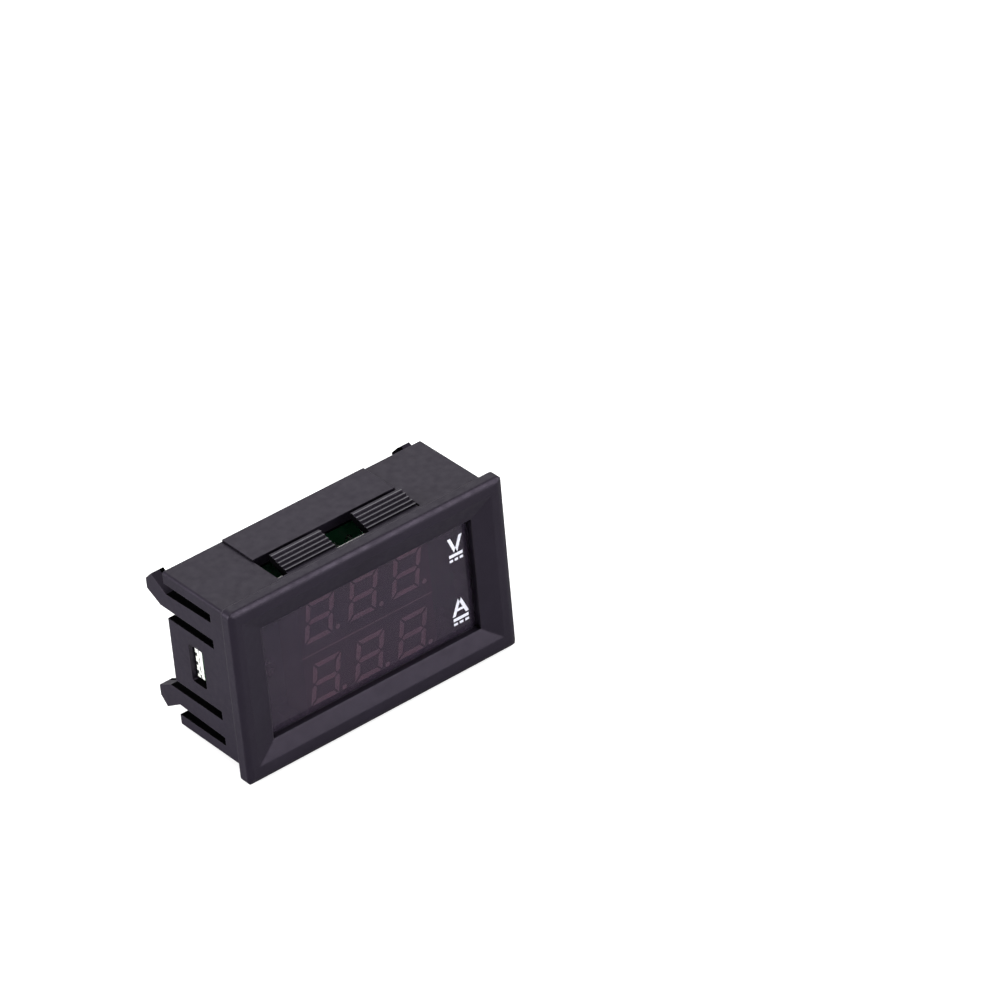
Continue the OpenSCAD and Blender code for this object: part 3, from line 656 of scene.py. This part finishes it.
# %% Board
HOLE_PITCH = 1.5 * MM
ROW_HALF_WIDTH = 0.13 * MM
WANDER = 0.3 * MM
BITE = 0.42 * MM
HOLE_BEAT, BITE_BEAT = -0.6, -0.35
SQUARE = 0.7
board_low, board_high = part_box("board")
board_middle = (board_low.y + board_high.y) / 2
green = Finish("green_board", (26, 84, 52), 0.32)
x, y, z = green.axes()
facing = green.facing()
face_on = green.above(green.size(facing[1]), SQUARE)
copper_area = green.spread(green.grain(7, 1, 1.2), 0, 1, 0.46, 0.48)
mask = green.mix(copper_area, (20, 84, 52), (26, 94, 58))
weave = green.spread(green.grain(0.25, 2), 0, 1)
raw = green.mix(weave, (224, 226, 220), (246, 247, 243))
wander = green.spread(green.grain(0.9, 2), -WANDER, WANDER)
from_middle = green.math("ADD", green.math("SUBTRACT", y, board_middle), wander)
beat = green.math("SINE", green.math("MULTIPLY", z, 2 * math.pi / HOLE_PITCH))
row = green.all_of(green.below(green.size(from_middle), ROW_HALF_WIDTH),
                   green.above(beat, HOLE_BEAT))
bite = green.all_of(green.above(y, board_high.y - BITE), green.below(beat, BITE_BEAT))
on_tab = green.above(green.size(facing[0]), SQUARE)
dash = green.all_of(green.any_of(row, bite), on_tab)
cut_edge = green.mix(dash, raw, (34, 34, 36))
green.colour(green.mix(face_on, cut_edge, mask))
green.rough(green.mix(face_on, (200, 200, 200), (136, 136, 136)))
green.bump(green.grain(0.5, 3), 0.01, 0.5)
dress(green, "board")

# %% [markdown]
# ## Metals
# Pins and leads are tin plated, solder is brighter and wavy, and the shunt is drawn
# from a coppery alloy. All are metallic shaders: their colour is the colour of what
# they mirror, and only roughness and fine bumps tell them apart.


# %% Metals
def metal(name, dark, light, rough_low, rough_high, grain_mm, bump_mm):
    """A metal whose colour and roughness vary between two values each."""
    finish = Finish(name, light, rough_high, 1.0)
    finish.colour(finish.mix(finish.spread(finish.grain(grain_mm, 3), 0, 1), dark, light))
    finish.rough(finish.spread(finish.grain(grain_mm * 0.6, 3), rough_low, rough_high))
    finish.bump(finish.grain(grain_mm, 2), bump_mm, 0.5)
    return finish


tin = metal("tinned_metal", (168, 166, 162), (206, 205, 202), 0.22, 0.4, 0.25, 0.006)
solder = metal("solder", (176, 178, 182), (222, 223, 226), 0.14, 0.36, 0.5, 0.03)
alloy = metal("shunt_alloy", (158, 112, 86), (198, 146, 112), 0.26, 0.44, 0.3, 0.006)
rotor_steel = metal("rotor_steel", (176, 172, 160), (212, 208, 196), 0.28, 0.42, 0.2, 0.006)
dress(tin, "display_pins_upper", "display_pins_lower", "signal_pins", "power_pins",
      "trimmer_terminals", "controller_leads", "amplifier_leads", "regulator_leads",
      "diode_leads")
dress(solder, "solder_joints")
dress(alloy, "shunt")
dress(rotor_steel, "volts_trimmer_rotor", "amps_trimmer_rotor")

# %% [markdown]
# ## Connector, ceramic and chip finishes
# Connector nylon lets a little light into itself, so it gets some subsurface. Chips
# are matt black with a peppered skin, and the glass over the chip resistors is shiny.
# One function makes them all, since they differ only in colour, gloss and grain.


# %% Plastics and ceramics behind the board
GLOW_REACH = (0.6 * MM, 0.5 * MM, 0.4 * MM)
EDGE_ROUNDING_MM = 0.08


def plain_finish(name, dark, light, rough_low, rough_high, grain_mm, bump_mm, glow=0.0):
    """A finish without metal; glow is the share of light that goes into it."""
    finish = Finish(name, light, rough_high)
    finish.colour(finish.mix(finish.spread(finish.grain(grain_mm * 6, 3), 0, 1), dark, light))
    finish.rough(finish.spread(finish.grain(grain_mm * 3, 2), rough_low, rough_high))
    if glow:
        finish.set("Subsurface Weight", glow)
        finish.set("Subsurface Radius", GLOW_REACH)
    soft_normal = finish.round_edges(EDGE_ROUNDING_MM)
    finish.bump(finish.grain(grain_mm, 2), bump_mm, 0.5, soft_normal)
    return finish


nylon = plain_finish("connector_nylon", (214, 208, 190), (230, 225, 210), 0.36, 0.5, 0.2, 0.006, 0.2)
trimmer_white = plain_finish("trimmer_ceramic", (214, 210, 200), (230, 227, 220), 0.4, 0.6, 0.15, 0.006)
chip_black = plain_finish("chip_black", (22, 22, 24), (34, 34, 36), 0.5, 0.68, 0.08, 0.008)
tan_ceramic = plain_finish("capacitor_ceramic", (146, 116, 82), (172, 140, 102), 0.45, 0.6, 0.12, 0.006)
black_glaze = plain_finish("resistor_glaze", (20, 20, 22), (34, 34, 38), 0.16, 0.3, 0.15, 0.006)
dress(nylon, "signal_header", "power_header")
dress(trimmer_white, "volts_trimmer_base", "amps_trimmer_base")
dress(chip_black, "controller_chip", "amplifier_chip", "regulator_chip", "diode_body")
dress(tan_ceramic, "chip_capacitors")
dress(black_glaze, "chip_resistors")

# %% [markdown]
# ## Small things on the board
# The solid model has the parts on the board as plain bodies. Here they get what makes
# them read as parts: metal ends and solder on the chip capacitors and resistors, a
# dimple for pin one on the chips, printed outlines, and copper tracks under the mask.
# Each kind is one piece. Most places are read from the solids, so that the pieces stay
# with them, and three helpers do the reading and the drawing.


# %% Helpers for small things
WELD = 1e-6
WEDGE_TOP = 0.3


def islands(name):
    """(lowest, highest) corner in mm of each separate solid of a node."""
    work = bmesh.new()
    work.from_mesh(nodes[name].data)
    bmesh.ops.remove_doubles(work, verts=work.verts, dist=WELD)
    left = set(work.verts)
    found = []
    while left:
        waiting = [left.pop()]
        group = []
        while waiting:
            vertex = waiting.pop()
            group.append(vertex.co / MM)
            for joined in vertex.link_edges:
                other = joined.other_vert(vertex)
                if other in left:
                    left.discard(other)
                    waiting.append(other)
        found.append((Vector([min(c[i] for c in group) for i in range(3)]),
                      Vector([max(c[i] for c in group) for i in range(3)])))
    work.free()
    return sorted(found, key=lambda corners: tuple(corners[0]))


def slab(work, low, high, slope=None):
    """A box between two corners in mm. With slope = (axis, side) its rear edge on that
    side moves inwards, which makes a fillet."""
    verts = bmesh.ops.create_cube(work, size=1)["verts"]
    for vertex in verts:
        corner = vertex.co.copy()
        if slope and corner.y > 0 and corner[slope[0]] * slope[1] > 0:
            corner[slope[0]] = -WEDGE_TOP * slope[1]
        vertex.co = Vector([(low[i] + high[i]) / 2 + corner[i] * (high[i] - low[i])
                            for i in range(3)]) * MM


def outline(work, low, high, width, y):
    """Four strokes round a rectangle, in x and z."""
    (x0, z0), (x1, z1) = low, high
    for start, end in (((x0, z0), (x1, z0)), ((x0, z1), (x1, z1)),
                       ((x0, z0), (x0, z1)), ((x1, z0), (x1, z1))):
        stroke(work, start, end, width, y)


print("chip capacitors:", len(islands("chip_capacitors")),
      "chip resistors:", len(islands("chip_resistors")))

# %% [markdown]
# A chip part is dipped in metal at both ends and stands in two small fillets of solder.
# The caps are boxes a hair larger than the part, with their edges bevelled in the mesh,
# since they are new and may be shaped freely. The fillets are boxes that lean inwards.

# %% Metal ends and solder
END_SHARE = 0.22
SKIN = 0.02
FILLET, FILLET_RISE = 0.24, 0.6
END_BEVEL = 0.04 * MM
ends, fillets = bmesh.new(), bmesh.new()
for name in ("chip_capacitors", "chip_resistors"):
    for low, high in islands(name):
        along = 0 if high.x - low.x > high.z - low.z else 2
        reach = END_SHARE * (high[along] - low[along])
        for side in (-1, 1):
            end_low = low - Vector((SKIN, 0, SKIN))
            end_high = high + Vector((SKIN, SKIN, SKIN))
            foot_low, foot_high = end_low.copy(), end_high.copy()
            foot_high.y = low.y + FILLET_RISE * (high.y - low.y)
            if side < 0:
                end_high[along] = low[along] + reach
                foot_low[along], foot_high[along] = low[along] - FILLET, low[along] - SKIN
            else:
                end_low[along] = high[along] - reach
                foot_low[along], foot_high[along] = high[along] + SKIN, high[along] + FILLET
            slab(ends, end_low, end_high)
            slab(fillets, foot_low, foot_high, (along, side))
bmesh.ops.bevel(ends, geom=ends.edges[:], offset=END_BEVEL, segments=2, affect="EDGES")
finish_piece("component_ends", ends, tin)
finish_piece("component_solder", fillets, solder)

# %% [markdown]
# A round dimple on a chip says where its first pin is. It is shallow and shinier than
# the rest, so a thin shiny disc, hardly proud of the face, reads the same and leaves
# the solid alone.

# %% Chip dimples
DIMPLE_RADIUS = 0.26 * MM
DIMPLE_INSET = 0.75 * MM
DIMPLE_SINK, DIMPLE_DEPTH = 0.002 * MM, 0.01 * MM
dimples = bmesh.new()
for name in ("controller_chip", "amplifier_chip"):
    low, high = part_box(name)
    middle = Vector((low.x + DIMPLE_INSET, high.y - DIMPLE_SINK, high.z - DIMPLE_INSET))
    made = bmesh.ops.create_circle(dimples, cap_ends=True, radius=DIMPLE_RADIUS, segments=24)
    for vertex in made["verts"]:
        vertex.co = middle + Vector((vertex.co.x, 0, vertex.co.y))
thicken(dimples, DIMPLE_DEPTH)
dimple_finish = plain_finish("chip_dimple", (46, 46, 48), (58, 58, 60), 0.3, 0.4, 0.1, 0.004)
finish_piece("chip_dimples", dimples, dimple_finish)

# %% [markdown]
# A board carries outlines in white ink that show where each part goes, and signs for
# the poles of the leads. Each outline is the part's own box with some room round it,
# kept off the board's rim. The signs are strokes again.

# %% Printed outlines
BACK = board_high.y / MM
FILM = (BACK - 0.005) * MM
PRINT_DEPTH = 0.02 * MM
FREE_X, FREE_Z = 19.8, 10.8
PRINT_LINE, SIGN_LINE, SIGN_HALF = 0.14, 0.16, 0.4
PLUS, MINUS = (-9.0, -2.0), (9.3, -7.2)
ROOM = {"signal_header": 0.25, "power_header": 0.25, "controller_chip": 1.15,
        "amplifier_chip": 1.15, "regulator_chip": 1.0, "diode_body": 0.45,
        "volts_trimmer_base": 0.4, "amps_trimmer_base": 0.4}
print_ink = Finish("board_ink", (228, 228, 222), 0.6)
fading = print_ink.spread(print_ink.grain(0.4, 3), 0, 1)
print_ink.colour(print_ink.mix(fading, (206, 208, 202), (236, 236, 230)))
print_ink.bump(print_ink.grain(0.1, 2), 0.004, 0.5)
prints = bmesh.new()
for name, room in ROOM.items():
    low, high = (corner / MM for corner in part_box(name))
    outline(prints, (max(low.x - room, -FREE_X), max(low.z - room, -FREE_Z)),
            (min(high.x + room, FREE_X), min(high.z + room, FREE_Z)), PRINT_LINE, FILM)
for x, z in (PLUS, MINUS):
    stroke(prints, (x - SIGN_HALF, z), (x + SIGN_HALF, z), SIGN_LINE, FILM)
x, z = PLUS
stroke(prints, (x, z - SIGN_HALF), (x, z + SIGN_HALF), SIGN_LINE, FILM)
thicken(prints, PRINT_DEPTH)
finish_piece("board_print", prints, print_ink)

# %% [markdown]
# Copper tracks show as raised lines of a lighter green, because the mask runs over
# them. They run in small bundles that turn at right angles, and a loop draws each
# bundle with a step between its tracks.

# %% Copper tracks
TRACK_WIDTH = 0.24
TRACK_DEPTH = 0.018 * MM
under_mask = Finish("masked_copper", (42, 118, 72), 0.3)
patina = under_mask.spread(under_mask.grain(2, 3), 0, 1)
under_mask.colour(under_mask.mix(patina, (36, 106, 64), (50, 126, 78)))
under_mask.rough(under_mask.spread(under_mask.grain(0.6, 2), 0.24, 0.36))
under_mask.bump(under_mask.grain(0.3, 2), 0.004, 0.4)
tracks = bmesh.new()


def track(*points):
    """A track through (x, z) points in mm."""
    for start, end in zip(points, points[1:]):
        stroke(tracks, start, end, TRACK_WIDTH, FILM)


for i in range(4):
    leg, turn_z = -2.0 + 1.1 * i, 8.4 + 0.45 * i
    track((leg, 7.4), (leg, turn_z), (5.6 + 1.3 * min(i, 2), turn_z))
    turn_z = 0.7 - 0.45 * i
    track((leg, 1.5), (leg, turn_z), (-12 - 1.2 * i, turn_z))
for i in range(3):
    leg, turn_z, turn_x = 12.2 + 2.2 * i, -2.6 + 0.3 * i, 8.0 - 0.8 * i
    track((leg, -3.6), (leg, turn_z), (turn_x, turn_z), (turn_x, 0.6))
    leg, turn_z = -4.0 + 1.3 * i, -9.5 - 0.3 * i
    track((leg, -9.0), (leg, turn_z), (-9.4 - 0.5 * i, turn_z))
thicken(tracks, TRACK_DEPTH)
finish_piece("board_tracks", tracks, under_mask)
